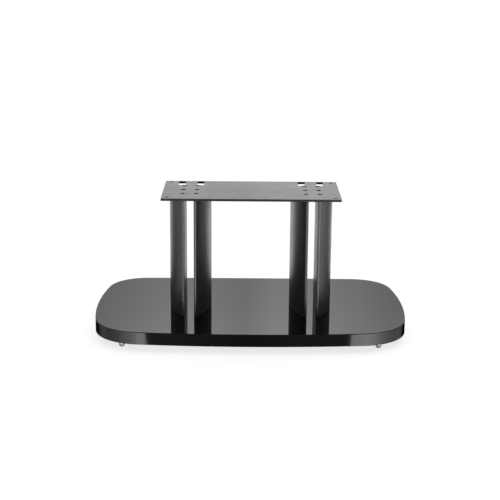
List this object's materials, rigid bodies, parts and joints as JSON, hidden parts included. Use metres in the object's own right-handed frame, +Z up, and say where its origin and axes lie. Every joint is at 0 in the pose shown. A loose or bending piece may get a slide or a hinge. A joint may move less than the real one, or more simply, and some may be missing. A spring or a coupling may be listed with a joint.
{
  "type": "loudspeaker stand",
  "caption": "Low wide stand for a centre loudspeaker: bowed gloss slab on screw feet, paired half-teardrop columns with cable gaps, and a flat bolt-on top plate.",
  "frame": {"origin": "on the floor, under the centre of the plinth", "axes": "+Z up, +X to the right seen from the front, -Y is the front"},
  "size_m": [0.804, 0.5, 0.362],
  "materials": {
    "plinth_lacquer": "gloss black lacquer on fibreboard, polished",
    "column_paint": "extruded aluminium, satin black powder coat",
    "gasket_rubber": "thin black rubber",
    "plate_paint": "steel plate, fine-texture graphite powder coat",
    "black_screw_steel": "black oxide steel",
    "zinc_steel": "bright zinc plate",
    "insert_brass": "plain turned brass",
    "foot_nickel": "bright nickel plate"
  },
  "bodies": {
    "stand": {"plinth": "plinth_lacquer", "column_outer_left": "column_paint", "column_inner_left": "column_paint", "column_inner_right": "column_paint", "column_outer_right": "column_paint", "column_gaskets": "gasket_rubber", "top_plate": "plate_paint", "plate_screws": "black_screw_steel", "base_screws": "zinc_steel", "base_washers": "zinc_steel", "foot_inserts": "insert_brass", "lock_nuts": "zinc_steel"},
    "dome_front_left": {"foot_dome_front_left": "foot_nickel"},
    "stem_front_left": {"foot_stem_front_left": "zinc_steel"},
    "dome_front_right": {"foot_dome_front_right": "foot_nickel"},
    "stem_front_right": {"foot_stem_front_right": "zinc_steel"},
    "dome_back_left": {"foot_dome_back_left": "foot_nickel"},
    "stem_back_left": {"foot_stem_back_left": "zinc_steel"},
    "dome_back_right": {"foot_dome_back_right": "foot_nickel"},
    "stem_back_right": {"foot_stem_back_right": "zinc_steel"}
  },
  "joints": [
    {"name": "foot_travel_front_left", "type": "slide", "parent": "stand", "child": "dome_front_left", "axis": [0, 0, -1], "range_m": [0, 0.01]},
    {"name": "foot_screw_front_left", "type": "hinge", "parent": "dome_front_left", "child": "stem_front_left", "pos_m": [-0.32, -0.197, 0.01], "axis": [0, 0, -1], "range_deg": [0, 2881]},
    {"name": "foot_travel_front_right", "type": "slide", "parent": "stand", "child": "dome_front_right", "axis": [0, 0, -1], "range_m": [0, 0.01]},
    {"name": "foot_screw_front_right", "type": "hinge", "parent": "dome_front_right", "child": "stem_front_right", "pos_m": [0.32, -0.197, 0.01], "axis": [0, 0, -1], "range_deg": [0, 2881]},
    {"name": "foot_travel_back_left", "type": "slide", "parent": "stand", "child": "dome_back_left", "axis": [0, 0, -1], "range_m": [0, 0.01]},
    {"name": "foot_screw_back_left", "type": "hinge", "parent": "dome_back_left", "child": "stem_back_left", "pos_m": [-0.32, 0.197, 0.01], "axis": [0, 0, -1], "range_deg": [0, 2881]},
    {"name": "foot_travel_back_right", "type": "slide", "parent": "stand", "child": "dome_back_right", "axis": [0, 0, -1], "range_m": [0, 0.01]},
    {"name": "foot_screw_back_right", "type": "hinge", "parent": "dome_back_right", "child": "stem_back_right", "pos_m": [0.32, 0.197, 0.01], "axis": [0, 0, -1], "range_deg": [0, 2881]}
  ],
  "couplings": [
    {"joint": "foot_screw_front_left", "follows": "foot_travel_front_left", "rad_per_m": 5026.5},
    {"joint": "foot_screw_front_right", "follows": "foot_travel_front_right", "rad_per_m": 5026.5},
    {"joint": "foot_screw_back_left", "follows": "foot_travel_back_left", "rad_per_m": 5026.5},
    {"joint": "foot_screw_back_right", "follows": "foot_travel_back_right", "rad_per_m": 5026.5}
  ]
}
